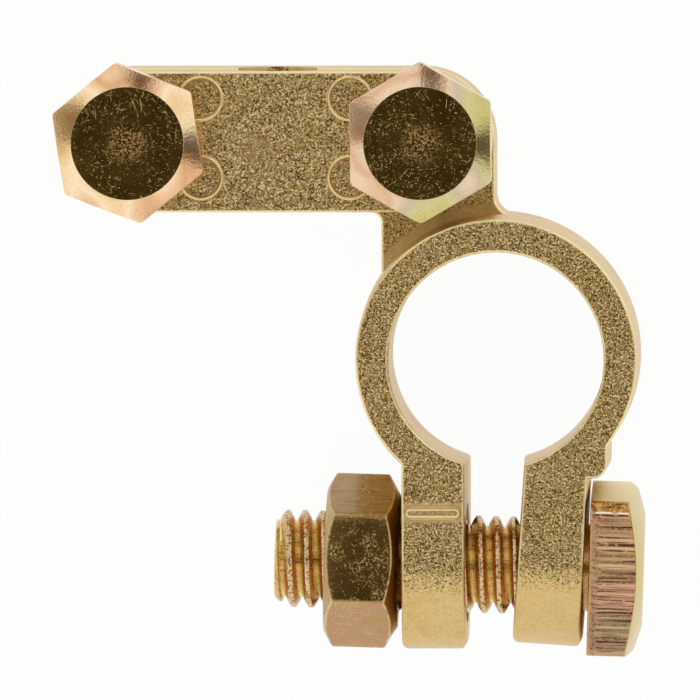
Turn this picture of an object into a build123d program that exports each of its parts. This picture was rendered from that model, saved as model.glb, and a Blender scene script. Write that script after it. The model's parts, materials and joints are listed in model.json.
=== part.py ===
"""Battery terminal clamp: a split post clamp with a bolted cable strap.

Millimetres, +Z up. The origin is on the axis of the post bore, half way up the
ring. X runs across the slot between the ears, and +Y from the clamp bolt to the
arm that carries the cable.
"""
import math
import os

from build123d import *

# ------------------------------------------------------------ driving sizes
# the casting as a whole
clamp_height = 14.0            # ring and ears, top to bottom
draft = 1.0                    # degrees that the cast walls lean out, going down
edge_round = 0.22              # outer edges of the casting
overlap = 0.1                  # how far one shape of the casting runs into the next

# ring round the battery post
bore_radius = 8.7
ring_wall = 2.67               # at the top, where the draft leaves it thinnest

# the two ears that the clamp bolt draws together
bolt_drop = 5.43               # ring's outer wall down to the holes in the ears
ear_hole_radius = 4.85
ear_corner_round = 0.9         # seen from above, at the ends of the ears
left_ear_gap = 2.58            # middle plane to the left ear's inner face
left_ear_thickness = 5.06
right_ear_gap = 2.9            # the same for the right ear, before it leans
right_ear_thickness = 5.12     # at its root
right_ear_lean = 3.9           # degrees that the right jaw has closed
right_ear_flare = 1.3          # degrees by which that ear thickens outwards
mouth_round = 0.4              # corners where the bore opens into the slot

# shoulder beside the right ear, over the square head, which keeps it from turning
shoulder_reach = 1.7           # beyond the ear's outer face
shoulder_round = 1.1
shoulder_clearance = 0.9       # above the head's upper corner

# polarity bar, a raised minus sign on the left ear
bar_length = 4.4
bar_width = 0.75
bar_height = 0.3
bar_drop = 1.0                 # ring's outer wall down to the bar
bar_edge_round = 0.2

# arm that carries the cable
arm_thickness = 5.5
arm_overhang = 0.15            # the arm stands out this far round the strap
arm_rise = 17.53               # bore axis to the line of the strap bolts
right_bolt_x = -6.09
strap_bolt_spacing = 23.61
neck_width = 9.26
neck_corner_round = 1.0
neck_left_root_round = 0.8
neck_right_root_round = 1.75

# strap, and the round channel that it and the arm close on the bared cable
strap_width = 11.4
strap_thickness = 5.5
strap_edge_round = 0.22
strap_hole_clearance = 0.3     # radial
cable_radius = 3.2
mark_radius = 1.55             # four shallow round ejector marks in the strap
mark_depth = 0.3
mark_inset = 5.75              # from the strap bolt beside it, along the strap
mark_offset = 3.2              # from the marks' own middle line
mark_rise = 0.33               # their middle line above the strap's
mark_edge_round = 0.2

# strap bolts, 1/4-20 x 1/2, with hex heads
strap_bolt_radius = 3.175
strap_bolt_length = 12.7       # under the head
strap_head_flats = 11.4
strap_head_height = 4.0
strap_head_face_radius = 4.56
left_head_turn = 39.0          # degrees from +X to a corner of the head
right_head_turn = 30.5

# clamp bolt, 5/16-18 x 1, with a square head
clamp_bolt_radius = 3.97
clamp_bolt_length = 25.55      # under the head
clamp_bolt_slant = 1.79        # degrees that its head end leans towards -Y
clamp_bolt_sag = 0.18          # below the middle of its wider holes
clamp_head_flats = 12.7
clamp_head_thickness = 4.4
clamp_head_turn = 4.6          # degrees that the loose head has turned
clamp_head_corner_round = 0.5
clamp_head_face_radius = 4.6
clamp_head_chamfer = 17.0      # degrees
clamp_head_gap = 0.34          # ear to the underside of the head

# hex nut of the clamp bolt, which bears on the left ear
nut_flats = 12.35
nut_thickness = 6.0
nut_turn = 25.0                # degrees from straight up to a corner of the nut
nut_face_radius = 5.85         # of the outer face
nut_seat_radius = 5.3          # of the face on the ear
nut_clearance = 0.03           # between that face and the ear

# both kinds of bolt
hex_chamfer = 30.0             # degrees
tip_chamfer = 0.6
thread_clearance = 0.05        # radial, between a bolt and its thread's bore

# ------------------------------------------------------ sizes that follow
lean = math.tan(math.radians(draft))
ring_top = clamp_height / 2
ring_radius = bore_radius + ring_wall
ear_drop = ring_radius + bolt_drop
ear_end = ear_drop + clamp_height / 2
ear_foot = ear_end + overlap   # the ears are cut to a half cylinder there
clear = 2 * clamp_height       # how far a cut runs on past the casting

# the right jaw has closed about the far side of the ring
flex_x = bore_radius + ring_wall / 2
right_jaw = Pos(flex_x, 0) * Rot(Z=-right_ear_lean) * Pos(-flex_x, 0)
left_ear_plane = Plane.YZ
right_ear_plane = Plane(right_jaw * Plane.YZ.location)
left_ear_x = -left_ear_gap - left_ear_thickness
right_ear_x = right_ear_gap + right_ear_thickness
flare_run = math.tan(math.radians(right_ear_flare))
right_root = (right_jaw * Pos(right_ear_x, -ring_radius)).position
right_seat = (right_jaw * Pos(right_ear_x + bolt_drop * flare_run, -ear_drop)).position

# clamp bolt: its own plane has +Z along it to the head, and +X up
clamp_bolt_drop = ear_drop + clamp_bolt_sag
slant_run = math.tan(math.radians(clamp_bolt_slant))
clamp_bolt_dir = Vector(1, -slant_run, 0).normalized()
clamp_bolt_plane = Plane((0, -clamp_bolt_drop, 0), x_dir=(0, 0, 1), z_dir=clamp_bolt_dir)
clamp_head_at = right_seat.X + ring_top * lean + clamp_head_gap
nut_lean = nut_seat_radius * math.hypot(slant_run, lean)
nut_seat_at = left_ear_x - ring_top * lean - nut_lean - nut_clearance
head_turn = math.radians(clamp_head_turn)
head_core = clamp_head_flats / 2 - clamp_head_corner_round
head_half_height = head_core * (math.cos(head_turn) + math.sin(head_turn)) + clamp_head_corner_round
shoulder_x = right_root.X + shoulder_reach
shoulder_y = head_half_height + shoulder_clearance - clamp_bolt_drop - shoulder_x * slant_run

# arm, strap and their bolts
arm_top = arm_thickness - ring_top
arm_end_radius = strap_width / 2 + arm_overhang
strap_top = arm_top + strap_thickness
left_bolt_x = right_bolt_x - strap_bolt_spacing
cable_x = right_bolt_x - strap_bolt_spacing / 2
neck_right_x = right_bolt_x + arm_end_radius
neck_left_x = neck_right_x - neck_width
eye_radius = ring_radius + (ring_top - arm_top) * lean - overlap
strap_bolt_places = [(left_bolt_x, arm_rise), (right_bolt_x, arm_rise)]


def rim(faces):
    """Edges round a group of faces, without the ones that two of them share."""
    edges = [edge for face in faces for edge in face.edges()]
    return ShapeList(edge for edge in edges if sum(edge.is_same(other) for other in edges) == 1)


def corner_near(sketch, x, y):
    """The corner of a sketch that lies nearest to a point."""
    return min(sketch.vertices(), key=lambda corner: math.hypot(corner.X - x, corner.Y - y))


def turned_end(plane, face_radius, angle):
    """Trim a head or nut to a cone: a flat of face_radius on the plane, and material behind it."""
    fall = (clear - face_radius) * math.tan(math.radians(angle))
    profile_plane = Plane(plane.origin, x_dir=plane.x_dir, z_dir=-plane.y_dir)
    with BuildSketch(profile_plane) as profile:
        Polygon(
            (0, 0),
            (face_radius, 0),
            (clear, -fall),
            (clear, -fall - clear),
            (0, -fall - clear),
            align=None,
        )
    revolve(profile.sketch, axis=Axis(plane.origin, plane.z_dir), mode=Mode.INTERSECT)


def strap_bolt(x, head_turn_from_x):
    """A hex-headed bolt, head up, that holds the strap at x."""
    with BuildPart() as bolt:
        with BuildSketch(Plane((x, arm_rise, strap_top))):
            RegularPolygon(strap_head_flats / 2, 6, major_radius=False, rotation=head_turn_from_x)
        extrude(amount=strap_head_height)
        head_face = Plane((x, arm_rise, strap_top + strap_head_height))
        turned_end(head_face, strap_head_face_radius, hex_chamfer)
        with BuildSketch(Plane((x, arm_rise, strap_top))):
            Circle(strap_bolt_radius)
        extrude(amount=-strap_bolt_length)
        chamfer(bolt.edges().sort_by(Axis.Z)[0], tip_chamfer)
    return bolt


# ------------------------------------------------------------ the casting
with BuildPart() as arm:
    with BuildSketch(Plane.XY.offset(arm_top)) as arm_outline:
        Circle(eye_radius)
        with Locations((cable_x, arm_rise)):
            SlotCenterToCenter(strap_bolt_spacing, 2 * arm_end_radius)
        with Locations((neck_right_x, 0)):
            Rectangle(neck_width, arm_rise, align=(Align.MAX, Align.MIN))
        neck_foot = math.sqrt(eye_radius**2 - neck_left_x**2)
        fillet(corner_near(arm_outline, neck_left_x, arm_rise - arm_end_radius), neck_corner_round)
        fillet(corner_near(arm_outline, neck_left_x, neck_foot), neck_left_root_round)
        fillet(corner_near(arm_outline, neck_right_x, eye_radius), neck_right_root_round)
    extrude(amount=-arm_thickness, taper=-draft)
    fillet(rim(arm.faces().filter_by(Axis.Z)), edge_round)
    with BuildSketch():
        Circle(bore_radius + ring_wall / 2)
    extrude(amount=clear, both=True, mode=Mode.SUBTRACT)
    # the half of the eye on the ears' side would bridge the slot
    split(bisect_by=Plane.XZ, keep=Keep.BOTTOM)

with BuildPart() as jaws:
    with BuildSketch(Plane.XY.offset(ring_top)) as jaw_outline:
        Circle(ring_radius)
        # the left ear, and the shoulder beside the right one
        Polygon(
            (-left_ear_gap, 0),
            (-left_ear_gap, -ear_foot),
            (left_ear_x, -ear_foot),
            (left_ear_x, -bore_radius / 2),
            align=None,
        )
        with BuildLine():
            Polyline(
                (shoulder_x, shoulder_y + shoulder_round),
                (shoulder_x, -ring_radius / 2),
                (right_ear_gap, -ring_radius / 2),
                (right_ear_gap, shoulder_y),
                (shoulder_x - shoulder_round, shoulder_y),
            )
            TangentArc(
                (shoulder_x - shoulder_round, shoulder_y),
                (shoulder_x, shoulder_y + shoulder_round),
                tangent=(1, 0),
            )
        make_face()
        # the right ear, and the slot
        with Locations(right_jaw):
            Polygon(
                (right_ear_gap, 0),
                (right_ear_gap, -ear_foot),
                (right_ear_x + (ear_foot - ring_radius) * flare_run, -ear_foot),
                (right_ear_x, -ring_radius),
                (right_ear_x, -bore_radius / 2),
                align=None,
            )
            with Locations((right_ear_gap, 0)):
                Rectangle(right_ear_gap, ear_end + clear, align=Align.MAX, mode=Mode.SUBTRACT)
        with Locations((-left_ear_gap, 0)):
            Rectangle(left_ear_gap, ear_end + clear, align=(Align.MIN, Align.MAX), mode=Mode.SUBTRACT)
        Circle(bore_radius - edge_round, mode=Mode.SUBTRACT)
        fillet(jaw_outline.vertices().filter_by(lambda corner: corner.Y < -ear_drop), ear_corner_round)
    extrude(amount=-clamp_height, taper=-draft)
    with BuildSketch():
        Circle(bore_radius)
    extrude(amount=ring_top, both=True, mode=Mode.SUBTRACT)
    # each ear ends in a half cylinder round its hole
    for ear_plane, outwards in ((left_ear_plane, -1), (right_ear_plane, 1)):
        with BuildSketch(ear_plane):
            with Locations((-ear_drop, 0)):
                Rectangle(clear, clear, align=(Align.MAX, Align.CENTER))
                Circle(clamp_height / 2, mode=Mode.SUBTRACT)
        extrude(amount=outwards * clear, mode=Mode.SUBTRACT)
    mouth = [
        min(jaws.edges(), key=lambda edge: edge.distance_to(Vertex(side_x, -bore_radius, 0)))
        for side_x in (-left_ear_gap, right_ear_gap)
    ]
    fillet(mouth, mouth_round)
    flats = jaws.faces().filter_by(Axis.Z)
    rounds = jaws.faces().filter_by(GeomType.CYLINDER)
    ear_ends = rounds.filter_by(lambda face: face.center().Y < -ear_drop)
    fillet(rim(flats + ear_ends), edge_round)

with BuildPart() as clamp_body:
    add(arm.part)
    add(jaws.part)
    # clearance holes for the clamp bolt
    for ear_plane, outwards in ((left_ear_plane, -1), (right_ear_plane, 1)):
        with BuildSketch(ear_plane):
            with Locations((-ear_drop, 0)):
                Circle(ear_hole_radius)
        extrude(amount=outwards * clear, mode=Mode.SUBTRACT)
    # tapped holes for the strap bolts
    with BuildSketch():
        with Locations(*strap_bolt_places):
            Circle(strap_bolt_radius + thread_clearance)
    extrude(amount=clear, both=True, mode=Mode.SUBTRACT)
    # the lower half of the cable channel
    with BuildSketch(Plane.XZ.offset(-arm_rise)):
        with Locations((cable_x, arm_top)):
            Circle(cable_radius)
    extrude(amount=strap_width, both=True, mode=Mode.SUBTRACT)
    # raised polarity bar
    with BuildSketch(Plane.XY.offset(ring_top)):
        with Locations((left_ear_x + left_ear_thickness / 2, -ring_radius - bar_drop)):
            SlotOverall(bar_length, bar_width)
    extrude(amount=bar_height)
    fillet(clamp_body.faces().sort_by(Axis.Z)[-1].edges(), bar_edge_round)

# ---------------------------------------------------- the strap and its bolts
with BuildPart() as cable_strap:
    with BuildSketch(Plane.XY.offset(arm_top)):
        with Locations((cable_x, arm_rise)):
            SlotCenterToCenter(strap_bolt_spacing, strap_width)
    extrude(amount=strap_thickness)
    fillet(rim(cable_strap.faces().filter_by(Axis.Z)), strap_edge_round)
    with BuildSketch(Plane.XY.offset(strap_top)):
        with Locations((cable_x, arm_rise + mark_rise)):
            with GridLocations(strap_bolt_spacing - 2 * mark_inset, 2 * mark_offset, 2, 2):
                Circle(mark_radius)
    extrude(amount=-mark_depth, mode=Mode.SUBTRACT)
    top_face = cable_strap.faces().sort_by(Axis.Z)[-1]
    fillet(top_face.inner_wires().edges(), mark_edge_round)
    with BuildSketch():
        with Locations(*strap_bolt_places):
            Circle(strap_bolt_radius + strap_hole_clearance)
    extrude(amount=clear, both=True, mode=Mode.SUBTRACT)
    with BuildSketch(Plane.XZ.offset(-arm_rise)):
        with Locations((cable_x, arm_top)):
            Circle(cable_radius)
    extrude(amount=strap_width, both=True, mode=Mode.SUBTRACT)

strap_bolt_left = strap_bolt(left_bolt_x, left_head_turn)
strap_bolt_right = strap_bolt(right_bolt_x, right_head_turn)

# ------------------------------------------------------ the clamp bolt and nut
with BuildPart() as clamp_bolt:
    head_seat = clamp_bolt_plane.offset(clamp_head_at)
    with BuildSketch(head_seat) as head_outline:
        Rectangle(clamp_head_flats, clamp_head_flats, rotation=clamp_head_turn)
        fillet(head_outline.vertices(), clamp_head_corner_round)
    extrude(amount=clamp_head_thickness)
    head_face = head_seat.offset(clamp_head_thickness)
    turned_end(head_face, clamp_head_face_radius, clamp_head_chamfer)
    with BuildSketch(head_seat):
        Circle(clamp_bolt_radius)
    extrude(amount=-clamp_bolt_length)
    chamfer(clamp_bolt.edges().sort_by(Axis.X)[0], tip_chamfer)

with BuildPart() as clamp_nut:
    nut_seat = clamp_bolt_plane.offset(nut_seat_at)
    with BuildSketch(nut_seat):
        RegularPolygon(nut_flats / 2, 6, major_radius=False, rotation=nut_turn)
    extrude(amount=-nut_thickness)
    turned_end(nut_seat, nut_seat_radius, hex_chamfer)
    nut_face = Plane(nut_seat.offset(-nut_thickness).origin, x_dir=(0, 0, 1), z_dir=-clamp_bolt_dir)
    turned_end(nut_face, nut_face_radius, hex_chamfer)
    with BuildSketch(nut_seat):
        Circle(clamp_bolt_radius + thread_clearance)
    extrude(amount=clear, both=True, mode=Mode.SUBTRACT)

# ------------------------------------------------------------ one STEP a piece
clamp_body.part.label = "clamp_body"
cable_strap.part.label = "cable_strap"
strap_bolt_left.part.label = "strap_bolt_left"
strap_bolt_right.part.label = "strap_bolt_right"
clamp_bolt.part.label = "clamp_bolt"
clamp_nut.part.label = "clamp_nut"

os.makedirs("parts", exist_ok=True)
for piece in (clamp_body, cable_strap, strap_bolt_left, strap_bolt_right, clamp_bolt, clamp_nut):
    export_step(piece.part, f"parts/{piece.part.label}.step")
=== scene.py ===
"""Looks of the battery terminal clamp.

The casting and its strap are the CAD solids with a cast, yellow-plated finish. The
three bolts and the nut are replaced by pieces of the same form that have their threads,
rounded edges and forging marks. Metres, in the frame's own axes: +Z up, the post's bore
on the Z axis.
"""
import json
import math
import bmesh
import bpy
from mathutils import Matrix, Vector, noise


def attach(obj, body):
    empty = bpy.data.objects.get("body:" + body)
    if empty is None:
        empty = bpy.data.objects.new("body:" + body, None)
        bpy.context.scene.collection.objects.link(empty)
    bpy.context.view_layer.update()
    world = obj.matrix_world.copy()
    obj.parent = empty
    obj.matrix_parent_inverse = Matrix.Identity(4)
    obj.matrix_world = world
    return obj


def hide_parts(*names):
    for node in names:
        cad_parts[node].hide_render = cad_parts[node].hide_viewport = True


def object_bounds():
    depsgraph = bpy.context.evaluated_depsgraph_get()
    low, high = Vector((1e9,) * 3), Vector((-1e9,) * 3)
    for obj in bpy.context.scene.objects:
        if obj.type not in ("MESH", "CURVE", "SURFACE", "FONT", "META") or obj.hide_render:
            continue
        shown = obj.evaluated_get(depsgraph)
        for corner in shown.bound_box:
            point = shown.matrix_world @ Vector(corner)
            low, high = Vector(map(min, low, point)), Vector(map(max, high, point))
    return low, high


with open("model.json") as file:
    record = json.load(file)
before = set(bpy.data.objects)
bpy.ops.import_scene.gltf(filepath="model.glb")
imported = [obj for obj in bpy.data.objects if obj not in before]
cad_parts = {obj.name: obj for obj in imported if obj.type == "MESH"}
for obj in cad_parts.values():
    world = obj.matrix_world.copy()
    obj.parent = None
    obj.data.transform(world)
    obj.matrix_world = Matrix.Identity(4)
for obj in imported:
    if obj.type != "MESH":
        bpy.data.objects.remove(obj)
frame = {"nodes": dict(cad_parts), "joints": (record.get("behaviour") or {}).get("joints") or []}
cad_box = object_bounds()
mm = 0.001

# ------------------------------------------------------------ driving sizes
# strap bolts, 1/4-20
strap_thread_radius = 3.175 * mm
strap_thread_pitch = 1.27 * mm
strap_head_apothem = 5.7 * mm
strap_head_height = 4.0 * mm
strap_head_face_radius = 4.56 * mm
strap_head_round = 0.5 * mm              # of its upright corners
strap_head_turns = {                     # +X to a corner, degrees
    "strap_bolt_left": 39.0,
    "strap_bolt_right": 30.5,
}

# clamp bolt and nut, 5/16-18
clamp_thread_radius = 3.97 * mm
clamp_thread_pitch = 1.4111 * mm
clamp_thread_start = -0.2                # turns by which the thread is advanced
clamp_head_apothem = 6.35 * mm
clamp_head_thickness = 4.4 * mm
clamp_head_face_radius = 4.6 * mm
clamp_head_chamfer = 17.0                # degrees
clamp_head_round = 0.5 * mm              # of the corners between its sides
clamp_head_turn = 4.6                    # straight up to the middle of a flat, degrees
die_strip = 0.75 * mm                    # the sides' plain strip at the underside, in height
die_fade = (0.2 * mm, 0.9 * mm)          # from a side's end to where die marks begin and are full
die_waves = 0.012 * mm                   # how far the sides swell
die_grooves = 0.05 * mm                  # how deep their grooves are
die_edge = 0.12 * mm                     # full die marks end this far under a side's top
die_ramp = 0.15 * mm                     # and begin this far above its plain strip
burr_inner = 5.55 * mm                   # the head's axis to the burr along one edge of its top
burr_height = 0.06 * mm
burr_ramp = (-0.05 * mm, 0.15 * mm)      # from burr_inner to where the burr begins and is full
trench_inner = burr_inner - 0.2 * mm     # the head's axis to the groove beside the burr
trench_depth = 0.1 * mm
trench_ramp = (0.2 * mm, 0.05 * mm)      # from its middle to where it begins and is full
nut_apothem = 6.175 * mm
nut_round = 0.4 * mm                     # of the corners between its sides
nut_mouth = 0.25 * mm                    # how far the bore's ends are opened, radial
nut_face_radius = 5.85 * mm
nut_seat_radius = 5.3 * mm
nut_turn = 25.0                          # straight up to a corner, degrees

# threads and chamfers of both
hex_sides = 6
hex_half = 30.0                          # a hexagon's corner to the middle of its flat, degrees
hex_chamfer = 30.0                       # degrees
head_disc_start = 0.75                   # where a head's outline starts, of its disc's radius
head_seat_end = 0.8                      # where it ends underneath, of the head's apothem
thread_depth = 0.6                       # of the pitch, as are the next three
thread_crest = 0.27                      # width of the crest
thread_root = 0.06                       # width of the root
thread_softness = 0.05                   # rounding of both
thread_play = 0.04 * mm                  # radial, between the bolt's thread and the nut's
thread_segments = 96
tip_chamfer = 45.0                       # degrees
runout = 1.2                             # pitches below the head where a thread starts to fade
runout_end = 0.3                         # pitches below the head where it is gone
sharp_angle = 32.0                       # between faces that meet in a sharp edge, degrees

# meshes, in metres and square metres
merge_distance = 1e-7
least_area = 1e-14
level_tolerance = 1e-9

# casting
ears_round_off = -16.5 * mm              # Y below which the ears are half cylinders
bar_line = -12.37 * mm                   # Y of the polarity bar's middle line
bar_ends = (-6.8 * mm, -3.3 * mm)        # X of its ends
bar_rim_off = 0.42 * mm                  # its middle line to the bead round it
top_faces = (5.0 * mm, 6.0 * mm)         # Z from which a face counts as the casting's top
ring_side = (12.1 * mm, 12.7 * mm)       # radius over which the arm beside the ring roughens
mark_centres = [(x * mm, y * mm, 4.0 * mm) for x in (-23.95, -11.84) for y in (14.66, 21.06)]
mark_radius = 1.55 * mm                  # of the strap's four ejector marks
sink_centre = (-19.5 * mm, 17.0 * mm, 4.0 * mm)  # of the strap's sink mark, over the cable

# how much of a bolt head's worn disc scratches cover, as the top share of their noise
long_scratches = 0.185
short_scratches = 0.2

# camera: where it stands, and the point that it looks at
camera_place = Vector((20.6, 46.5, 986.0)) * mm
camera_target = Vector((-12.0, 0.5, 0.0)) * mm
frame_width = 56.91 * mm                 # what the picture spans at the target
sensor_width = 36.0                      # of the camera, mm

# light
tent_light = 1.0
tent_opening = 16.0                      # half angle of the dark opening overhead, degrees
opening_light = 0.12
opening_blur = 3.0                       # degrees
tent_seams = (                           # azimuth and half width in degrees, darkness
    (-4.0, 12.5, 0.93),
    (80.0, 8.5, 0.93),
    (166.0, 23.0, 0.68),
)
seam_blur = 5.0                          # degrees
floor_half_width = 1.5
floor_lift = 0.95                        # how far camera and mirrors see the floor as white


# ------------------------------------------------------------ geometry helpers
def joint_named(name):
    return next(joint for joint in frame["joints"] if joint["name"] == name)


def placed(origin, z_dir, x_dir):
    """The matrix of a piece whose own Z and X axes point along z_dir and x_dir."""
    z_axis = Vector(z_dir).normalized()
    y_axis = z_axis.cross(Vector(x_dir)).normalized()
    x_axis = y_axis.cross(z_axis)
    turn = Matrix((x_axis, y_axis, z_axis)).transposed().to_4x4()
    return Matrix.Translation(Vector(origin)) @ turn


def ends_along(node, place):
    """The lowest and highest point of a CAD node along the Z axis of a piece's matrix."""
    inverse = place.inverted()
    heights = [(inverse @ vertex.co).z for vertex in frame["nodes"][node].data.vertices]
    return min(heights), max(heights)


def smoothstep(low, high, value):
    share = min(1.0, max(0.0, (value - low) / (high - low)))
    return share * share * (3 - 2 * share)


def rounded(points, radii, steps=4):
    """The points of an open outline with each inner corner turned into an arc."""
    line = [points[0]]
    for before, corner, after, radius in zip(points, points[1:], points[2:], radii):
        back = (before - corner).normalized()
        ahead = (after - corner).normalized()
        half = back.angle(ahead) / 2
        run = radius / math.tan(half)
        centre = corner + (back + ahead).normalized() * radius / math.sin(half)
        start = corner + back * run - centre
        end = corner + ahead * run - centre
        sweep = start.angle(end)
        for step in range(steps + 1):
            share = step / steps
            blend = start * math.sin((1 - share) * sweep) + end * math.sin(share * sweep)
            line.append(centre + blend / math.sin(sweep))
    line.append(points[-1])
    return line


def prism_angles(sides, apothem, corner_round, flat_steps, corner_steps=5):
    """Angles round a prism, closer together at its rounded corners; 0 is the middle of a flat."""
    half = math.pi / sides
    flat_end = math.atan(math.tan(half) * (1 - corner_round / apothem))
    corner = 2 * (half - flat_end)
    one_side = [flat_end * (2 * step / flat_steps - 1) for step in range(flat_steps)]
    one_side += [flat_end + corner * step / corner_steps for step in range(corner_steps)]
    return [angle + side * 2 * half for side in range(sides) for angle in one_side]


def prism_radius(angle, sides, apothem, corner_round):
    """Distance from the axis to the side of a prism whose corners are rounded."""
    half = math.pi / sides
    from_flat = abs((angle + half) % (2 * half) - half)
    if math.tan(from_flat) <= math.tan(half) * (1 - corner_round / apothem):
        return apothem / math.cos(from_flat)
    corner_centre = (apothem - corner_round) / math.cos(half)
    off = half - from_flat
    aside = corner_centre * math.sin(off)
    return corner_centre * math.cos(off) + math.sqrt(corner_round**2 - aside**2)


def skin(bm, lines, flipped=False):
    """Faces between each line of vertices and the next one."""
    for line, following in zip(lines, lines[1:]):
        for corners in zip(line, line[1:], following[1:], following):
            bm.faces.new(corners[::-1] if flipped else corners)


def lathe(bm, angles, section):
    """Sweeps section(angle), a list of (radius, height), round Z. Returns its two end loops."""
    rings = []
    for angle in angles:
        cos, sin = math.cos(angle), math.sin(angle)
        rings.append([bm.verts.new((r * cos, r * sin, z)) for r, z in section(angle)])
    skin(bm, rings + rings[:1])
    return [ring[0] for ring in rings], [ring[-1] for ring in rings]


def loop_edges(loop):
    """The edges round a closed loop of vertices."""
    return [
        next(edge for edge in a.link_edges if edge.other_vert(a) is b)
        for a, b in zip(loop, loop[1:] + loop[:1])
    ]


def fill_between(bm, loop, other):
    """A flat ring of triangles between two closed loops."""
    bmesh.ops.triangle_fill(bm, edges=loop_edges(loop) + loop_edges(other), use_beauty=True)


def thread_profile(pitch, depth, play=0.0):
    """(place along the pitch, radius under the crest) round one turn, crest first."""
    crest = thread_crest * pitch
    root = thread_root * pitch
    flank = (pitch - crest - root) / 2
    soft = thread_softness * pitch
    outline = [
        (-crest / 2, soft * 0.5),
        (-crest / 2 + soft, 0.0),
        (crest / 2 - soft, 0.0),
        (crest / 2, soft * 0.5),
        (crest / 2 + flank * 0.5, depth * 0.5),
        (crest / 2 + flank - soft, depth - soft * 0.8),
        (crest / 2 + flank + root / 2, depth),
        (crest / 2 + flank + root + soft, depth - soft * 0.8),
        (crest / 2 + flank * 1.5 + root, depth * 0.5),
    ]
    return [(place, under - play) for place, under in outline]


def helix(bm, radius, pitch, low, high, limit, phase=0.0, play=0.0, inward=False):
    """A right-hand thread about Z, from low to high, that limit(radius, height) trims.

    A crest crosses the X axis at the height phase, and play moves the thread outwards. Its
    faces look outwards, or to the axis where inward is set. Returns its two end loops.
    """
    profile = thread_profile(pitch, thread_depth * pitch, play)
    first = math.floor((low - phase) / pitch) - 2
    turns = math.ceil((high - low) / pitch) + 4
    columns = [(first + turn, point) for turn in range(turns) for point in profile]
    half_crest = pitch * thread_crest / 2

    def helicoid_radius(height, share):
        """Radius at a height, between the outline's points."""
        along = (height - phase - share * pitch + half_crest) % pitch - half_crest
        points = profile + [(profile[0][0] + pitch, profile[0][1])]
        for (a, under_a), (b, under_b) in zip(points, points[1:]):
            if a <= along <= b:
                return radius - under_a - (under_b - under_a) * (along - a) / (b - a)
        return radius - profile[0][1]

    grid = []
    for step in range(thread_segments):
        share = step / thread_segments
        angle = 2 * math.pi * share
        line = []
        for turn, (place, under) in columns:
            height = (turn + share) * pitch + place + phase
            trimmed = min(max(height, low), high)
            r = radius - under if trimmed == height else helicoid_radius(trimmed, share)
            r = limit(r, trimmed)
            line.append(bm.verts.new((r * math.cos(angle), r * math.sin(angle), trimmed)))
        grid.append(line)
    grid.append(grid[0][len(profile):])
    skin(bm, grid, flipped=not inward)
    own = [vertex for line in grid[:-1] for vertex in line]
    bmesh.ops.remove_doubles(bm, verts=own, dist=merge_distance)
    flat = [face for face in bm.faces if face.calc_area() < least_area]
    bmesh.ops.delete(bm, geom=flat, context="FACES")
    own = [vertex for vertex in own if vertex.is_valid]
    loops = []
    for level in (low, high):
        loop = [vertex for vertex in own if abs(vertex.co.z - level) < level_tolerance]
        loop = [vertex for vertex in loop if any(edge.is_boundary for edge in vertex.link_edges)]
        loops.append(sorted(loop, key=lambda vertex: math.atan2(vertex.co.y, vertex.co.x)))
    return loops


def finished(bm, name, place):
    """A piece made from a mesh in its own axes."""
    bmesh.ops.recalc_face_normals(bm, faces=bm.faces)
    mesh = bpy.data.meshes.new(name)
    bm.to_mesh(mesh)
    bm.free()
    mesh.shade_smooth()
    mesh.set_sharp_from_angle(angle=math.radians(sharp_angle))
    piece = bpy.data.objects.new(name, mesh)
    bpy.context.scene.collection.objects.link(piece)
    piece.matrix_world = place
    return piece


# ------------------------------------------------------------ bolts and nut
def head_outline(side, apothem, face_radius, height, chamfer, radii):
    """(radius, height) points down a bolt's head, at an angle where its side is this far out."""
    shoulder = height - (side - face_radius) * math.tan(math.radians(chamfer))
    outline = [
        Vector((head_disc_start * face_radius, height)),
        Vector((face_radius, height)),
        Vector((side, shoulder)),
        Vector((side, 0.0)),
        Vector((head_seat_end * apothem, 0.0)),
    ]
    return rounded(outline, radii)


def bolt(name, place, shank_end, thread_radius, pitch, angles, section, start=0.0):
    """A bolt along its own Z axis: the underside of its head at 0, its tip at shank_end."""
    bm = bmesh.new()
    top, bottom = lathe(bm, angles, section)
    bm.faces.new(top)
    tip_radius = thread_radius - thread_depth * pitch
    body_radius = thread_radius - thread_depth * pitch / 2

    def limit(r, height):
        fade = smoothstep(-runout * pitch, -runout_end * pitch, height)
        faded = r + (body_radius - r) * fade
        return min(faded, tip_radius + (height - shank_end) / math.tan(math.radians(tip_chamfer)))

    tip, seat = helix(bm, thread_radius, pitch, shank_end, 0.0, limit, phase=start * pitch)
    fill_between(bm, seat, bottom)
    bm.faces.new(tip)
    return finished(bm, name, place)


def strap_bolt(node):
    """Hex head up, with a flat disc inside its chamfer."""
    turn_joint = joint_named(node + "_turn")
    turn = math.radians(strap_head_turns[node] - hex_half)
    place = placed(turn_joint["pos_m"], (0, 0, 1), (math.cos(turn), math.sin(turn), 0))
    tip = ends_along(node, place)[0]

    def section(angle):
        side = prism_radius(angle, hex_sides, strap_head_apothem, strap_head_round)
        return head_outline(
            side,
            strap_head_apothem,
            strap_head_face_radius,
            strap_head_height,
            hex_chamfer,
            radii=(0.12 * mm, 0.16 * mm, 0.1 * mm),
        )

    angles = prism_angles(hex_sides, strap_head_apothem, strap_head_round, flat_steps=16)
    name = node + "_threaded"
    return bolt(name, place, tip, strap_thread_radius, strap_thread_pitch, angles, section)


def clamp_place():
    """The clamp bolt's axes: Z towards its head, X up."""
    turn_joint = joint_named("clamp_nut_turn")
    towards_head = -Vector(turn_joint["axis"])
    return placed(turn_joint["pos_m"], towards_head, (0, 0, 1))


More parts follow.
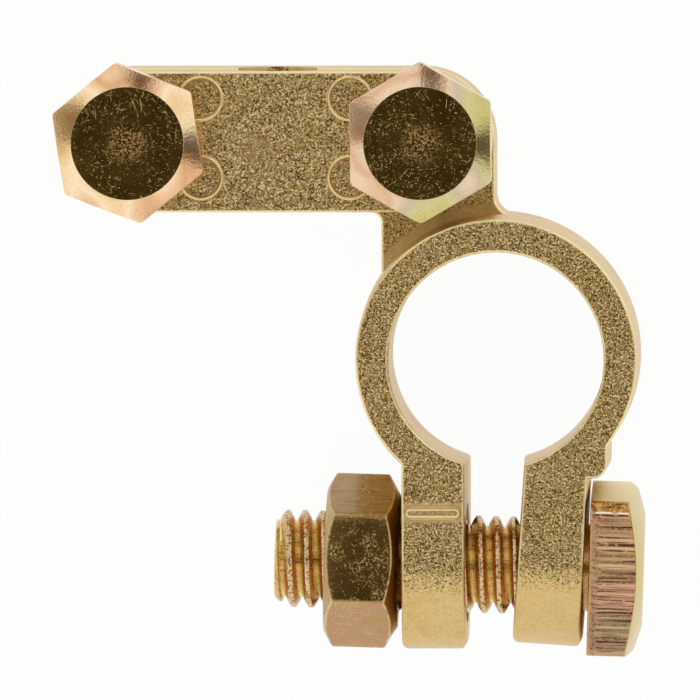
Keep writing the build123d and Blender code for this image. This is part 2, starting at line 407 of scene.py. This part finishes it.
def die_marks(face, along):
    """How far a side of the square head stands off its true plane, at a place across it.

    The dies marked two opposite sides, 0 and 2, and left a burr and a groove on side 0.
    """
    if face not in (0, 2):
        return 0.0

    def waves(length, row, column):
        return noise.noise(Vector((along / length, row * face, column)))

    coarse = waves(0.9 * mm, 7.3, 1.7)
    fine = waves(0.28 * mm, 3.1, 9.2)
    groove = smoothstep(0.12, 0.45, waves(0.42 * mm, 5.9, 4.4))
    begins, full = (clamp_head_apothem - inset for inset in die_fade)
    relief = die_waves * coarse + die_waves * fine - die_grooves * groove
    relief *= smoothstep(begins, full, abs(along))
    if face == 0:
        burr = smoothstep(burr_inner + burr_ramp[0], burr_inner + burr_ramp[1], -along)
        trench = smoothstep(*trench_ramp, abs(-along - trench_inner))
        relief += burr_height * burr - trench_depth * trench
    return relief


def clamp_bolt():
    """Square head with die marks along two of its sides and a burr at one edge."""
    axes = clamp_place()
    tip, top = ends_along("clamp_bolt", axes)
    seat = top - clamp_head_thickness
    turn = Matrix.Rotation(math.radians(clamp_head_turn), 4, "Z")
    place = axes @ Matrix.Translation((0, 0, seat)) @ turn
    sides = 4
    quarter = math.pi / 2

    def section(angle):
        side = prism_radius(angle, sides, clamp_head_apothem, clamp_head_round)
        face = round(angle / quarter) % sides
        marked = side + die_marks(face, side * math.sin(angle - face * quarter))
        points = head_outline(
            side,
            clamp_head_apothem,
            clamp_head_face_radius,
            clamp_head_thickness,
            clamp_head_chamfer,
            radii=(0.15 * mm, 0.1 * mm, 0.15 * mm),
        )
        low = points.index(next(point for point in points if point.y < die_strip))
        side_top = points[low - 1].y
        between = [
            Vector((marked, side_top - die_edge)),
            Vector((marked, (side_top + die_strip) / 2)),
            Vector((marked, die_strip + die_ramp)),
            Vector((side, die_strip)),
        ]
        return points[:low] + between + points[low:]

    angles = prism_angles(
        sides, clamp_head_apothem, clamp_head_round, flat_steps=220, corner_steps=8
    )
    return bolt(
        "clamp_bolt_threaded",
        place,
        tip - seat,
        clamp_thread_radius,
        clamp_thread_pitch,
        angles,
        section,
        start=clamp_thread_start,
    )


def clamp_nut():
    """Hex nut, chamfered on both faces, with its thread cut to follow the bolt's."""
    axes = clamp_place()
    low, high = ends_along("clamp_nut", axes)
    bolt_seat = ends_along("clamp_bolt", axes)[1] - clamp_head_thickness
    turn = math.radians(nut_turn - hex_half)
    place = axes @ Matrix.Rotation(turn, 4, "Z")
    slope = math.tan(math.radians(hex_chamfer))
    mouth = clamp_thread_radius + nut_mouth
    face_start = mouth + 0.4 * mm
    bm = bmesh.new()

    def section(angle):
        side = prism_radius(angle, hex_sides, nut_apothem, nut_round)
        outline = [
            Vector((face_start, high)),
            Vector((nut_seat_radius, high)),
            Vector((side, high - (side - nut_seat_radius) * slope)),
            Vector((side, low + (side - nut_face_radius) * slope)),
            Vector((nut_face_radius, low)),
            Vector((face_start, low)),
        ]
        return rounded(outline, radii=(0.1 * mm, 0.16 * mm, 0.16 * mm, 0.08 * mm))

    angles = prism_angles(hex_sides, nut_apothem, nut_round, flat_steps=16)
    seat_loop, face_loop = lathe(bm, angles, section)

    def limit(r, height):
        return max(r, mouth - min(height - low, high - height))

    turned = (turn - math.radians(clamp_head_turn)) / (2 * math.pi)
    face_bore, seat_bore = helix(
        bm,
        clamp_thread_radius,
        clamp_thread_pitch,
        low,
        high,
        limit,
        phase=bolt_seat + clamp_thread_pitch * (clamp_thread_start + turned),
        play=thread_play,
        inward=True,
    )
    fill_between(bm, seat_bore, seat_loop)
    fill_between(bm, face_bore, face_loop)
    return finished(bm, "clamp_nut_threaded", place)


# ------------------------------------------------------------ materials
class Paint:
    """Adds shader nodes to the tree of one material or world."""

    def __init__(self, tree):
        self.tree = tree

    def add(self, kind, inputs=None, **settings):
        node = self.tree.nodes.new(kind)
        for key, value in settings.items():
            setattr(node, key, value)
        for key, value in (inputs or {}).items():
            self.feed(node.inputs[key], value)
        return node

    def feed(self, socket, value):
        if isinstance(value, bpy.types.NodeSocket):
            self.tree.links.new(value, socket)
        else:
            socket.default_value = value

    def math(self, operation, a, b=0.5):
        return self.add("ShaderNodeMath", {0: a, 1: b}, operation=operation).outputs[0]

    def plus(self, a, b):
        return self.math("ADD", a, b)

    def minus(self, a, b):
        return self.math("SUBTRACT", a, b)

    def times(self, *factors):
        product = factors[0]
        for factor in factors[1:]:
            product = self.math("MULTIPLY", product, factor)
        return product

    def most(self, *values):
        highest = values[0]
        for value in values[1:]:
            highest = self.math("MAXIMUM", highest, value)
        return highest

    def size(self, value):
        """The value without its sign."""
        return self.math("ABSOLUTE", value)

    def off(self, value, middle):
        """How far the value is from a middle, either way."""
        return self.size(self.minus(value, middle))

    def from_axis(self, x, y):
        """Distance from the Z axis."""
        return self.math("SQRT", self.plus(self.times(x, x), self.times(y, y)))

    def vector(self, operation, a, b):
        node = self.add("ShaderNodeVectorMath", {0: a, 1: b}, operation=operation)
        return node.outputs[1 if operation in ("DISTANCE", "DOT_PRODUCT") else 0]

    def parts(self, vector):
        return self.add("ShaderNodeSeparateXYZ", {0: vector}).outputs

    def step(self, value, low, high, out_low=0.0, out_high=1.0):
        """A smooth step from out_low to out_high as value goes from low to high."""
        if low > high:
            low, high, out_low, out_high = high, low, out_high, out_low
        inputs = {
            "Value": value,
            "From Min": low,
            "From Max": high,
            "To Min": out_low,
            "To Max": out_high,
        }
        node = self.add("ShaderNodeMapRange", inputs, interpolation_type="SMOOTHSTEP")
        return node.outputs["Result"]

    def mix(self, share, a, b, blend="MIX"):
        node = self.add("ShaderNodeMix", data_type="RGBA", blend_type=blend)
        self.feed(node.inputs[0], share)
        self.feed(node.inputs[6], a)
        self.feed(node.inputs[7], b)
        return node.outputs[2]

    def layers(self, tone, *layers):
        """Colours laid over a tone, each as (where, how much, colour)."""
        for where, share, colour in layers:
            tone = self.mix(self.times(where, share), tone, colour)
        return tone

    def ramp(self, value, *stops):
        """A colour ramp through (place, colour) stops."""
        node = self.add("ShaderNodeValToRGB", {0: value})
        steps = node.color_ramp.elements
        while len(steps) < len(stops):
            steps.new(0.5)
        for element, (place, colour) in zip(steps, stops):
            element.position = place
            element.color = colour
        return node.outputs["Color"]

    def noise(self, vector, scale, detail=2.0, rough=0.5, out="Fac"):
        inputs = {"Vector": vector, "Scale": scale, "Detail": detail, "Roughness": rough}
        return self.add("ShaderNodeTexNoise", inputs).outputs[out]

    def scratches(self, vector, length, width, keep, axis=(0, 0, 1), count=4):
        """Fine, slightly bent scratches that run in several directions across an axis."""
        bend = self.noise(vector, 0.7 / length, detail=0.0, out="Color")
        warp = self.vector("SUBTRACT", bend, (0.5, 0.5, 0.5))
        bent = self.vector("ADD", vector, self.vector("MULTIPLY", warp, (length,) * 3))
        along = 1 if axis[0] else 0
        scale = [1 / width] * 3
        scale[along] = 1 / length
        first_angle = 0.35
        layers = []
        for layer in range(count):
            angle = first_angle + layer * math.pi / count
            inputs = {"Vector": bent, "Axis": axis, "Angle": angle}
            turned = self.add("ShaderNodeVectorRotate", inputs).outputs[0]
            spread = self.vector("MULTIPLY", turned, scale)
            apart = (layer * 17.3, layer * 5.1, layer * 11.7)
            layers.append(self.noise(self.vector("ADD", spread, apart), 1.0, detail=0.0))
        return self.step(self.most(*layers), 1 - keep, 1.03 - keep)

    def surface(self, colour, roughness, height, depth):
        """Plated metal with a relief of the given depth, in metres."""
        bump = self.add("ShaderNodeBump", {"Height": height, "Distance": depth})
        inputs = {
            "Base Color": colour,
            "Metallic": 1.0,
            "Roughness": roughness,
            "Normal": bump.outputs[0],
        }
        shader = self.add("ShaderNodeBsdfPrincipled", inputs)
        self.add("ShaderNodeOutputMaterial", {0: shader.outputs[0]})


def rgb(red, green, blue):
    """A colour written as a screen shows it, 0 to 255."""
    shares = (value / 255 for value in (red, green, blue))
    return tuple(((share + 0.055) / 1.055) ** 2.4 for share in shares) + (1.0,)


def material(name):
    """An empty material, with its Paint and a point's place and normal in the piece's axes."""
    made = bpy.data.materials.new(name)
    made.use_nodes = True
    made.node_tree.nodes.clear()
    paint = Paint(made.node_tree)
    coordinates = paint.add("ShaderNodeTexCoord")
    return made, paint, coordinates.outputs["Object"], coordinates.outputs["Normal"]


def cast_finish(name, calm_area, beads_and_highlights):
    """Tumbled zinc casting, yellow plated: fine bright speckle on the flats, of a bumped grain
    with painted shade in its hollows and pits and painted glints; smooth edges with a painted
    highlight.

    calm_area paints where a flat is smooth, and the other function where a low raised rim stands
    on it and takes a painted highlight.
    """
    made, paint, place, normal = material(name)
    upright = paint.size(paint.parts(normal)[2])
    flat_from, flat_full = 0.93, 0.99
    flat = paint.step(upright, flat_from, flat_full)
    sloping = paint.step(upright, flat_full, flat_from)
    off_ears = paint.step(paint.parts(place)[1], ears_round_off - mm, ears_round_off + mm)
    # the rounded edges, off the ears' ends, take a painted highlight
    rounded_edge_highlight = paint.times(paint.step(upright, 0.2, 0.4), sloping, off_ears)
    rough_area = paint.times(flat, paint.minus(1.0, calm_area(paint, place)))

    grain = paint.noise(place, scale=4700.0, detail=2.0, rough=0.65)
    swell = paint.noise(place, scale=900.0, detail=2.0)
    stain = paint.noise(place, scale=260.0, detail=3.0, rough=0.6)
    lines = paint.scratches(place, length=1.3 * mm, width=0.06 * mm, keep=0.225)
    # dark dots on the flats: painted shade in the casting's pits
    pit_shade = paint.step(paint.noise(place, scale=4900.0, detail=1.0), 0.54, 0.63)
    pit_shade = paint.times(pit_shade, rough_area)
    glints = paint.step(paint.noise(place, scale=6400.0, detail=1.0), 0.57, 0.64)
    glints = paint.times(glints, rough_area)
    # a low raised rim that lifts the bump and takes a painted highlight
    bead_and_highlight = beads_and_highlights(paint, place)
    # darker in the grain's hollows, most on the flats: painted shade
    grain_shade = paint.step(rough_area, 0.0, 1.0, out_low=0.22, out_high=0.45)
    grain_shade = paint.times(paint.step(grain, 0.52, 0.36), grain_shade)

    tone = paint.ramp(
        stain,
        (0.3, rgb(206, 172, 108)),
        (0.5, rgb(222, 190, 128)),
        (0.7, rgb(214, 184, 126)),
    )
    tone = paint.layers(
        tone,
        (grain_shade, 1.0, rgb(150, 110, 48)),
        (rounded_edge_highlight, 0.8, rgb(254, 238, 188)),
        (pit_shade, 0.8, rgb(82, 62, 24)),
        (glints, 0.8, rgb(252, 234, 186)),
        (lines, 0.7, rgb(248, 230, 180)),
        (bead_and_highlight, 0.8, rgb(252, 236, 182)),
    )
    # the flats a little greyer and darker: painted shade
    tone = paint.mix(rough_area, tone, paint.mix(1.0, tone, rgb(246, 244, 236), "MULTIPLY"))

    height = paint.times(grain, paint.step(rough_area, 0.0, 1.0, out_low=0.22, out_high=1.0))
    height = paint.plus(height, paint.times(swell, 0.8))
    height = paint.plus(height, paint.plus(paint.times(lines, 0.3), paint.times(bead_and_highlight, 1.6)))
    roughness = paint.step(rough_area, 0.0, 1.0, out_low=0.38, out_high=0.16)
    roughness = paint.plus(roughness, paint.times(paint.most(glints, lines), 0.34))
    paint.surface(tone, roughness, height, depth=0.045 * mm)
    return made


def plating(paint, place, scale, tones, lean=0.0):
    """Chromate colours that drift into each other; lean shifts them from side to side."""
    drift = paint.plus(paint.noise(place, scale, detail=1.5, rough=0.45), lean)
    low, high = 0.32, 0.70
    gap = (high - low) / (len(tones) - 1)
    stops = ((low + gap * index, rgb(*tone)) for index, tone in enumerate(tones))
    return paint.ramp(drift, *stops)


def thread_crests(paint, from_axis, z, thread_radius, begins, full):
    """The crests of a bolt's thread, which begin and are full at these depths."""
    outer = paint.step(from_axis, thread_radius - begins, thread_radius - full)
    return paint.times(outer, paint.step(z, 0.0, -0.4 * mm))


# plating colours, as a screen shows them
peach = (
    (222, 186, 128),
    (246, 212, 162),
    (255, 230, 190),
    (244, 200, 158),
    (222, 172, 126),
    (248, 214, 168),
)
pink_to_green = (
    (240, 210, 176),
    (226, 182, 146),
    (236, 208, 176),
    (208, 190, 160),
    (214, 204, 146),
    (204, 192, 118),
)
golden = ((226, 208, 128), (216, 184, 112), (232, 196, 142), (208, 180, 100))
bronze = ((176, 160, 98), (184, 150, 100), (184, 140, 102), (178, 144, 86))


def strap_bolt_finish(name, shift, tones, lean):
    """Head: worn, scratched disc, dark with a painted reflection of the opening overhead,
    iridescent sides; shank: golden thread with dull crests.

    shift sets the bolts' patterns apart, and lean drifts the tones across the head.
    """
    made, paint, place, normal = material(name)
    own = paint.vector("ADD", place, (shift, 2 * shift, 0.0))
    x, y, z = paint.parts(place)
    from_axis = paint.from_axis(x, y)
    upright = paint.parts(normal)[2]
    near_top = paint.step(z, strap_head_height - 0.5 * mm, strap_head_height - 0.2 * mm)
    disc = paint.times(paint.step(upright, 0.95, 0.985), near_top)
    middle = paint.step(from_axis, 2.6 * mm, 0.4 * mm)
    shank = paint.step(z, 0.0, -0.2 * mm)
    crests = thread_crests(paint, from_axis, z, strap_thread_radius, 0.115 * mm, 0.025 * mm)

    fine = paint.noise(own, scale=4200.0, detail=2.0, rough=0.6)
    rubbed = paint.noise(own, scale=5200.0, detail=2.0, rough=0.7)
    patchy = paint.step(paint.noise(own, scale=650.0), 0.38, 0.60)
    width = 0.07 * mm
    lines = paint.scratches(own, 2.4 * mm, width, long_scratches, count=6)
    elsewhere = paint.vector("ADD", own, (0.1, 0.1, 0.1))
    short = paint.scratches(elsewhere, 0.42 * mm, width, short_scratches)
    flecks = paint.times(paint.step(fine, 0.62, 0.70), patchy)
    worn = paint.times(paint.step(rubbed, 0.50, 0.62), middle)
    marks = paint.most(
        lines,
        paint.times(short, patchy),
        paint.times(flecks, 0.6),
        paint.times(worn, 0.6),
    )

    across = paint.times(x, lean / strap_head_apothem)
    # The disc's dark olive is partly a stain that varies at random and partly a painted
    # reflection of the dark opening overhead; the marks over it are wear.
    stain = paint.step(paint.noise(own, scale=500.0, detail=3.0), 0.35, 0.65)
    face = paint.mix(stain, rgb(112, 90, 40), rgb(134, 108, 52))
    face = paint.mix(marks, face, paint.mix(middle, rgb(212, 188, 130), rgb(226, 176, 128)))
    tone = paint.layers(
        plating(paint, own, 190.0, tones, across),
        (shank, 1.0, plating(paint, own, 420.0, golden)),
        (paint.step(fine, 0.50, 0.40), 0.12, rgb(150, 108, 60)),
        (disc, 1.0, face),
        (crests, paint.step(fine, 0.4, 0.6), rgb(176, 150, 130)),
    )

    height = paint.times(fine, paint.step(disc, 0.0, 1.0, out_low=1.1, out_high=0.25))
    height = paint.plus(height, paint.times(marks, disc, 0.7))
    roughness = paint.step(paint.times(marks, disc), 0.0, 1.0, out_low=0.2, out_high=0.5)
    paint.surface(tone, roughness, height, depth=0.016 * mm)
    return made


def clamp_bolt_finish(name):
    """Pink and gold plating, with dark die lines along the square head's sides."""
    made, paint, place, normal = material(name)
    x, y, z = paint.parts(place)
    from_axis = paint.from_axis(x, y)
    facing = paint.parts(normal)[0]
    either_way = paint.size(facing)
    along_axis = paint.size(paint.parts(normal)[2])
    side = paint.times(paint.step(along_axis, 0.35, 0.15), paint.step(z, 0.0, 0.2 * mm))
    plain_side = paint.times(side, paint.step(either_way, 0.5, 0.3))
    off_strip = paint.step(z, die_strip - 0.1 * mm, die_strip + 0.1 * mm)
    ridged = paint.times(side, off_strip, paint.step(either_way, 0.6, 0.8))
    burred_side = paint.times(side, paint.step(facing, 0.2, 0.4))
    raised = paint.times(along_axis, paint.step(z, 2.5 * mm, 3.0 * mm))
    end_face = paint.step(raised, 0.6, 0.8)

    fine = paint.noise(place, scale=4200.0, detail=2.0, rough=0.6)
    drawn = paint.vector("MULTIPLY", place, (1.0, 1.0, 0.02))
    streaks = paint.noise(drawn, scale=4600.0, detail=2.0, rough=0.6)
    broken = paint.step(paint.noise(place, scale=1900.0), 0.30, 0.42)
    dark_lines = paint.times(paint.step(streaks, 0.46, 0.40), ridged, broken)
    pale_lines = paint.times(paint.step(streaks, 0.58, 0.66), ridged)
    patch = paint.step(paint.noise(place, scale=1400.0), 0.36, 0.56)
    speckle = paint.times(paint.step(fine, 0.45, 0.34), paint.step(z, 0.9 * mm, 0.6 * mm))
    wobble = paint.minus(y, paint.times(paint.noise(place, scale=900.0), 0.12 * mm))
    burr = paint.step(wobble, -burr_inner, -burr_inner - 0.08 * mm)

    def beside_burr(inwards):
        """A thin, broken line along the burr, at a distance inwards from it; it carries the
        painted highlight on the burr and the painted shade in the groove.
        """
        line = paint.step(paint.off(wobble, inwards - burr_inner), 0.09 * mm, 0.03 * mm)
        return paint.times(burred_side, line)

    root = clamp_thread_radius - thread_depth * clamp_thread_pitch
    flanks = paint.step(from_axis, root + 0.1 * mm, root + 0.4 * mm)
    # the thread's roots painted pale yellow: painted highlight
    root_highlight = paint.step(from_axis, root + 0.12 * mm, root + 0.03 * mm)
    crests = thread_crests(paint, from_axis, z, clamp_thread_radius, 0.15 * mm, 0.04 * mm)
    worn_crest = paint.mix(paint.step(fine, 0.36, 0.54), rgb(116, 86, 52), rgb(232, 206, 162))
    burr_tone = paint.mix(paint.step(fine, 0.4, 0.6), rgb(150, 104, 40), rgb(216, 168, 90))
    head = paint.ramp(
        paint.noise(paint.vector("MULTIPLY", place, (1.0, 1.0, 0.5)), scale=230.0, detail=2.0),
        (0.32, rgb(174, 162, 116)),
        (0.42, rgb(196, 156, 122)),
        (0.56, rgb(212, 158, 130)),
        (0.70, rgb(206, 166, 120)),
    )
    tone = paint.layers(
        plating(paint, place, 420.0, golden),
        (flanks, 0.75, rgb(206, 156, 98)),
        (root_highlight, 0.7, rgb(252, 236, 176)),
        (side, 1.0, head),
        (plain_side, 1.0, rgb(244, 230, 186)),
        (end_face, 1.0, rgb(214, 192, 128)),
        (dark_lines, 0.9, rgb(92, 62, 40)),
        (pale_lines, 0.5, rgb(236, 206, 168)),
        (paint.times(burred_side, burr), 0.9, burr_tone),
        # beside the burr: a painted highlight on its slope and a painted shade line in the groove
        # beside it
        (beside_burr(0.07 * mm), patch, rgb(255, 240, 208)),
        (beside_burr(0.25 * mm), patch, rgb(64, 42, 24)),
        (speckle, 0.7, rgb(120, 84, 52)),
        (crests, 0.7, worn_crest),
    )

    height = paint.plus(paint.times(fine, 0.35), paint.times(streaks, ridged, 0.8))
    roughness = paint.step(fine, 0.3, 0.7, out_low=0.2, out_high=0.34)
    roughness = paint.most(roughness, paint.times(plain_side, 0.5))
    paint.surface(tone, roughness, height, depth=0.018 * mm)
    return made


def clamp_nut_finish(name):
    """Drawn hex bar: brushed along the axis, its edges bright from wear and a painted highlight;
    painted shade darkens its upper side, its top face and the brush lines' hollows.
    """
    made, paint, place, normal = material(name)
    x, y, z = paint.parts(normal)
    side = paint.step(paint.size(z), 0.3, 0.1)
    # the upper side and the top face are painted darker: painted shade, the top face's standing
    # for a reflection of the dark opening overhead
    upper_side_shade = paint.times(side, paint.step(y, -0.4, -0.8))
    top = paint.times(side, paint.step(x, 0.8, 0.95))

    drawn = paint.vector("MULTIPLY", place, (1.0, 1.0, 0.12))
    brushed = paint.noise(drawn, scale=3400.0, detail=3.0, rough=0.65)
    lines = paint.scratches(place, 1.2 * mm, 0.06 * mm, keep=0.2, axis=(1, 0, 0))
    fine = paint.noise(place, scale=5200.0, detail=2.0, rough=0.7)
    patchy = paint.step(paint.noise(place, scale=700.0), 0.42, 0.62)
    flecks = paint.times(paint.step(fine, 0.54, 0.62), patchy)
    marks = paint.times(paint.most(lines, paint.times(flecks, 0.6)), side)
    # darker in the brush lines' hollows, most on the upper side: painted shade
    brush_hollow_shade = paint.times(paint.step(brushed, 0.5, 0.34), paint.plus(upper_side_shade, 0.25))
    # the edges brighter, broken in patches: partly wear, partly a painted highlight
    softened = paint.add("ShaderNodeBevel", {"Radius": 0.22 * mm}, samples=4).outputs[0]
    true = paint.add("ShaderNodeNewGeometry").outputs["Normal"]
    edge = paint.step(paint.vector("DOT_PRODUCT", softened, true), 0.997, 0.975)
    edge = paint.times(edge, paint.step(paint.noise(place, scale=2200.0), 0.34, 0.52))

    tone = paint.layers(
        plating(paint, place, 150.0, bronze),
        (upper_side_shade, 0.8, rgb(156, 130, 88)),
        (top, 0.85, rgb(140, 112, 52)),
        (brush_hollow_shade, 0.4, rgb(112, 80, 38)),
        (marks, 0.7, rgb(240, 218, 164)),
        (edge, 0.85, rgb(248, 232, 182)),
    )
    bright = paint.most(marks, edge)
    height = paint.plus(paint.times(brushed, side, 0.4), paint.times(bright, 0.8))
    roughness = paint.step(bright, 0.0, 1.0, out_low=0.18, out_high=0.46)
    paint.surface(tone, roughness, height, depth=0.02 * mm)
    return made


# ------------------------------------------------------------ the pieces
def round_the_ring(paint, place):
    """The body's smooth places: beside the ring on the arm, and round the polarity bar."""
    x, y, z = paint.parts(place)
    ring_inner, ring_outer = ring_side
    beside = paint.step(paint.from_axis(x, y), ring_outer, ring_inner)
    beside = paint.times(beside, paint.step(z, 1.0 * mm, -1.0 * mm))
    off_bar = paint.off(y, bar_line)
    halo = paint.times(
        paint.step(off_bar, 0.95 * mm, 0.6 * mm),
        paint.step(off_bar, 0.24 * mm, 0.36 * mm, out_low=0.6, out_high=1.0),
        paint.step(x, 0.0, -1.0 * mm),
        paint.step(z, *top_faces),
    )
    return paint.most(beside, halo)


def bar_rim(paint, place):
    """A low raised rim round the polarity bar, which also takes a painted highlight."""
    x, y, z = paint.parts(place)
    bar_left, bar_right = bar_ends
    soft = 0.1 * mm
    return paint.times(
        paint.step(paint.off(paint.off(y, bar_line), bar_rim_off), soft, 0.02 * mm),
        paint.step(x, bar_right + soft, bar_right - soft),
        paint.step(x, bar_left - soft, bar_left + soft),
        paint.step(z, *top_faces),
        0.25,
    )


def off_mark_rims(paint, place):
    """Distance from the middle of the nearest ejector mark's rim."""
    nearest = 1.0
    for centre in mark_centres:
        nearest = paint.math("MINIMUM", paint.vector("DISTANCE", place, centre), nearest)
    return paint.off(nearest, mark_radius + 0.16 * mm)


def sunk_middle(paint, place):
    """The strap's smoother places: a faint sink mark and the rims of the ejector marks."""
    from_sink = paint.vector("DISTANCE", place, sink_centre)
    sink = paint.step(from_sink, 1.8 * mm, 0.6 * mm, out_low=0.0, out_high=0.45)
    return paint.most(sink, paint.step(off_mark_rims(paint, place), 0.2 * mm, 0.1 * mm))


def mark_rims(paint, place):
    """A low raised rim round each ejector mark, which also takes a painted highlight."""
    return paint.step(off_mark_rims(paint, place), 0.16 * mm, 0.02 * mm)


for node_name, calm_area, beads_and_highlights in (
    ("clamp_body", round_the_ring, bar_rim),
    ("cable_strap", sunk_middle, mark_rims),
):
    materials = frame["nodes"][node_name].data.materials
    materials.clear()
    materials.append(cast_finish(node_name + "_finish", calm_area, beads_and_highlights))


def stand_for(piece, node_name, body, finish):
    """A modelled piece stands in for a CAD node: it gets its own finish and a body, and the node
    is hidden.
    """
    piece.data.materials.append(finish)
    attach(piece, body)
    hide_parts(node_name)


left_bolt = strap_bolt("strap_bolt_left")
right_bolt = strap_bolt("strap_bolt_right")
left_finish = strap_bolt_finish("left_bolt_finish", shift=0.0, tones=peach, lean=0.0)
right_finish = strap_bolt_finish(
    "right_bolt_finish", shift=31.0 * mm, tones=pink_to_green, lean=0.14
)
cross_finish = clamp_bolt_finish("clamp_bolt_finish")
nut_finish = clamp_nut_finish("clamp_nut_finish")
stand_for(left_bolt, "strap_bolt_left", "left_strap_bolt", left_finish)
stand_for(right_bolt, "strap_bolt_right", "right_strap_bolt", right_finish)
stand_for(clamp_bolt(), "clamp_bolt", "cross_bolt", cross_finish)
stand_for(clamp_nut(), "clamp_nut", "nut", nut_finish)


# ------------------------------------------------------------ floor, light and camera
def floor():
    """White paper. The camera and mirrors see it lifted to white, with a faint shadow left."""
    bm = bmesh.new()
    bmesh.ops.create_grid(bm, x_segments=8, y_segments=8, size=floor_half_width)
    plane = finished(bm, "floor", Matrix.Translation((0, 0, cad_box[0].z)))
    paper, paint, place, _ = material("floor_paper")
    tone = paint.mix(paint.noise(place, scale=900.0), rgb(249, 249, 249), rgb(252, 252, 252))
    dull = paint.add("ShaderNodeBsdfDiffuse", {"Color": tone})
    white = paint.add("ShaderNodeEmission", {"Color": (1, 1, 1, 1), "Strength": 1.0})
    path = paint.add("ShaderNodeLightPath")
    seen = paint.most(path.outputs["Is Camera Ray"], path.outputs["Is Glossy Ray"])
    inputs = {0: paint.times(seen, floor_lift), 1: dull.outputs[0], 2: white.outputs[0]}
    blended = paint.add("ShaderNodeMixShader", inputs)
    paint.add("ShaderNodeOutputMaterial", {0: blended.outputs[0]})
    plane.data.materials.append(paper)


def studio():
    """A white tent, open at the top and along a few seams, where it is dark."""
    world = bpy.data.worlds.new("studio")
    bpy.context.scene.world = world
    world.use_nodes = True
    world.node_tree.nodes.clear()
    paint = Paint(world.node_tree)
    towards = paint.add("ShaderNodeTexCoord").outputs["Generated"]
    x, y, z = paint.parts(towards)
    rim, inside = (
        math.cos(math.radians(angle)) for angle in (tent_opening, tent_opening - opening_blur)
    )
    light = paint.step(z, rim, inside, out_low=1.0, out_high=opening_light)
    azimuth = paint.math("ARCTAN2", y, x)
    sloping = paint.times(paint.step(z, 0.2, 0.35), paint.step(z, 0.8, 0.68))
    for centre, half_width, darkness in tent_seams:
        far, close = (math.radians(half_width + blur) for blur in (seam_blur, -seam_blur))
        near = paint.step(paint.off(azimuth, math.radians(centre)), far, close)
        light = paint.times(light, paint.minus(1.0, paint.times(near, sloping, darkness)))
    tint = paint.mix(paint.step(light, 0.1, 0.9), rgb(255, 226, 190), (1, 1, 1, 1))
    inputs = {"Color": tint, "Strength": paint.times(light, tent_light)}
    glow = paint.add("ShaderNodeBackground", inputs)
    paint.add("ShaderNodeOutputWorld", {0: glow.outputs[0]})


def camera():
    data = bpy.data.cameras.new("camera")
    data.sensor_width = sensor_width
    data.lens = sensor_width * (camera_place - camera_target).length / frame_width
    data.clip_start = 0.01
    data.clip_end = 10.0
    eye = bpy.data.objects.new("camera", data)
    bpy.context.scene.collection.objects.link(eye)
    eye.matrix_world = placed(camera_place, camera_place - camera_target, (1, 0, 0))
    bpy.context.scene.camera = eye


floor()
studio()
camera()
bpy.context.scene.view_settings.view_transform = "Standard"
bpy.context.view_layer.update()
